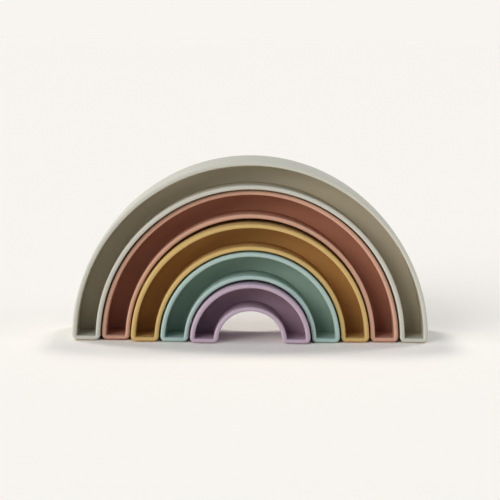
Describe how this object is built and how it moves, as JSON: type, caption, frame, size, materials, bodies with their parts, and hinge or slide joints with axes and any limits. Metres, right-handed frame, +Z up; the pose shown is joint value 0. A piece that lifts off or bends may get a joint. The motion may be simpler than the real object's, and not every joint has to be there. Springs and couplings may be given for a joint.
{
  "type": "rainbow stacker",
  "caption": "Rainbow stacker toy: loose nested arches of moulded matte silicone in muted colours, each a half ring on closed feet with an open recess in its front and back.",
  "frame": {"origin": "on the floor, at the middle of the set's width and depth", "axes": "+X to the right seen from the front, -Y to the front, +Z up"},
  "size_m": [0.175, 0.045, 0.0881],
  "materials": {
    "stone_silicone": "matte moulded silicone, warm stone grey",
    "terracotta_silicone": "matte moulded silicone, dusty terracotta",
    "mustard_silicone": "matte moulded silicone, muted mustard",
    "mint_silicone": "matte moulded silicone, sage mint",
    "lilac_silicone": "matte moulded silicone, dusty lilac"
  },
  "bodies": {
    "stone": {"stone_arch": "stone_silicone"},
    "terracotta": {"terracotta_arch": "terracotta_silicone"},
    "mustard": {"mustard_arch": "mustard_silicone"},
    "mint": {"mint_arch": "mint_silicone"},
    "lilac": {"lilac_arch": "lilac_silicone"}
  },
  "joints": [
    {"name": "terracotta_slide", "type": "slide", "parent": "stone", "child": "terracotta", "axis": [0, -1, 0], "range_m": [-0.0382, 0.0418]},
    {"name": "mustard_slide", "type": "slide", "parent": "terracotta", "child": "mustard", "axis": [0, -1, 0], "range_m": [-0.0431, 0.0369]},
    {"name": "mint_slide", "type": "slide", "parent": "mustard", "child": "mint", "axis": [0, -1, 0], "range_m": [-0.0409, 0.0391]},
    {"name": "lilac_slide", "type": "slide", "parent": "mint", "child": "lilac", "axis": [0, -1, 0], "range_m": [-0.043, 0.037]}
  ]
}
